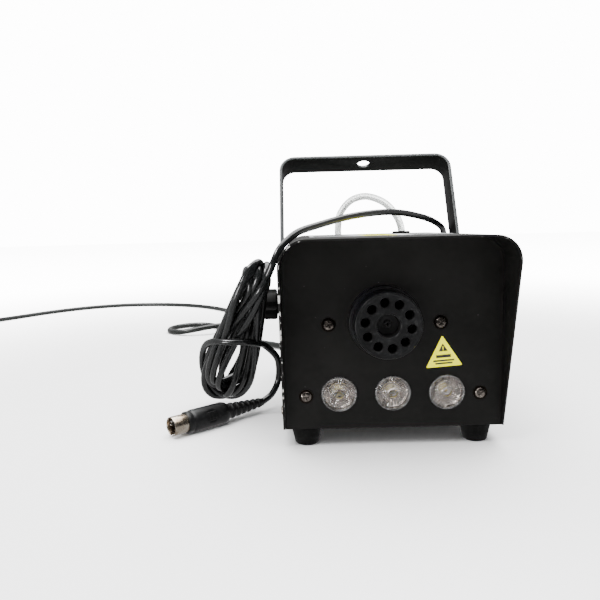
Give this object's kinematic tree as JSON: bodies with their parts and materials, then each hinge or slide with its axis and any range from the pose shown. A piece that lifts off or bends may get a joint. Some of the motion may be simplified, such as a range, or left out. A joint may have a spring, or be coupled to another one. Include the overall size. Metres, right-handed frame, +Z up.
{
  "type": "fog machine",
  "caption": "Compact stage fog machine: folded steel case with hood, round nozzle, effect lights, swing handle, fluid tank, wired remote and mains lead.",
  "frame": {"origin": "on the floor, under the middle of the bounding box of the machine and its handset", "axes": "+Z up, the nozzle faces -Y, +X to the right of a viewer who looks at the nozzle"},
  "size_m": [0.7112, 0.7709, 0.2009],
  "materials": {
    "powder_coat": "fine textured powder coat",
    "zinc_sheet": "plated sheet",
    "dark_plastic": "satin heat resistant plastic",
    "brass": "turned",
    "aluminium": "cast",
    "steel": "plated",
    "glass_wool": "fibre mat",
    "ceramic": "ceramic",
    "pump_plastic": "glass filled",
    "silicone": "translucent silicone",
    "rubber": "matt",
    "tank_plastic": "translucent polyethylene",
    "black_plastic": "satin",
    "board_green": "solder mask",
    "relay_blue": "moulded",
    "transformer_yellow": "tape",
    "lens_holder": "metallised",
    "lens": "clear moulded",
    "red_plastic": "moulded",
    "satin_black": "satin",
    "black_nickel": "black nickel",
    "label_yellow": "printed",
    "label_grey": "printed",
    "lamp_green": "clear green",
    "cord_black": "PVC sheath",
    "nickel": "nickel plated"
  },
  "bodies": {
    "machine": {"cover": "powder_coat", "chassis_pan": "zinc_sheet", "front_panel": "powder_coat", "rear_panel": "powder_coat", "nozzle_cap": "dark_plastic", "nozzle_base": "dark_plastic", "outlet_pipe": "brass", "heater_block": "aluminium", "heating_element": "steel", "heater_jacket": "glass_wool", "heater_brackets": "steel", "thermostat": "dark_plastic", "thermal_fuse": "ceramic", "pump_body": "pump_plastic", "pump_bracket": "steel", "delivery_tube": "silicone", "feed_tube": "silicone", "tube_grommet": "rubber", "suction_filter": "steel", "tank": "tank_plastic", "control_board": "board_green", "board_relay": "relay_blue", "board_transformer": "transformer_yellow", "board_standoffs": "steel", "led_board": "aluminium", "led_holders": "lens_holder", "lens_left": "lens", "lens_middle": "lens", "lens_right": "lens", "remote_socket": "black_plastic", "cord_gland": "rubber", "switch_body": "black_plastic", "handle_washers": "rubber", "pivot_nuts": "steel", "foot_front_left": "rubber", "foot_front_right": "rubber", "foot_rear_left": "rubber", "foot_rear_right": "rubber", "foot_screws": "steel", "front_screws": "black_nickel", "cover_screws": "black_nickel", "caution_label": "label_yellow", "top_label": "label_grey", "handset_lower": "black_plastic", "handset_upper": "black_plastic", "handset_lamp": "lamp_green", "remote_cord": "cord_black", "remote_hank": "cord_black", "remote_plug": "rubber", "plug_shell": "nickel", "mains_cord": "cord_black", "mains_plug": "rubber", "mains_pins": "nickel"},
    "handle": {"handle": "satin_black"},
    "knob_left": {"knob_left": "black_plastic"},
    "knob_right": {"knob_right": "black_plastic"},
    "tank_cap": {"tank_cap": "black_plastic"},
    "rocker": {"switch_rocker": "red_plastic"},
    "button": {"handset_button": "red_plastic"},
    "plunger": {"pump_plunger": "steel"}
  },
  "joints": [
    {"name": "handle_swing", "type": "hinge", "parent": "machine", "child": "handle", "pos_m": [0, -0.016, 0.08], "axis": [1, 0, 0], "range_deg": [-2, 70]},
    {"name": "knob_left_turn", "type": "hinge", "parent": "machine", "child": "knob_left", "pos_m": [-0.08, -0.016, 0.08], "axis": [1, 0, 0], "continuous": true},
    {"name": "knob_right_turn", "type": "hinge", "parent": "machine", "child": "knob_right", "pos_m": [0.08, -0.016, 0.08], "axis": [1, 0, 0], "continuous": true},
    {"name": "tank_cap_turn", "type": "hinge", "parent": "machine", "child": "tank_cap", "pos_m": [-0.022, 0.0581, 0.124], "axis": [0, 0, 1], "range_deg": [0, 540]},
    {"name": "switch_rock", "type": "hinge", "parent": "machine", "child": "rocker", "pos_m": [0.004, 0.0838, 0.037], "axis": [0, 0, 1], "range_deg": [-16, 0]},
    {"name": "button_press", "type": "slide", "parent": "machine", "child": "button", "axis": [0, 0, -1], "range_m": [0, 0.002], "stiffness_N_per_m": 400},
    {"name": "plunger_stroke", "type": "slide", "parent": "machine", "child": "plunger", "axis": [1, 0, 0], "range_m": [-0.003, 0.003], "stiffness_N_per_m": 600}
  ]
}
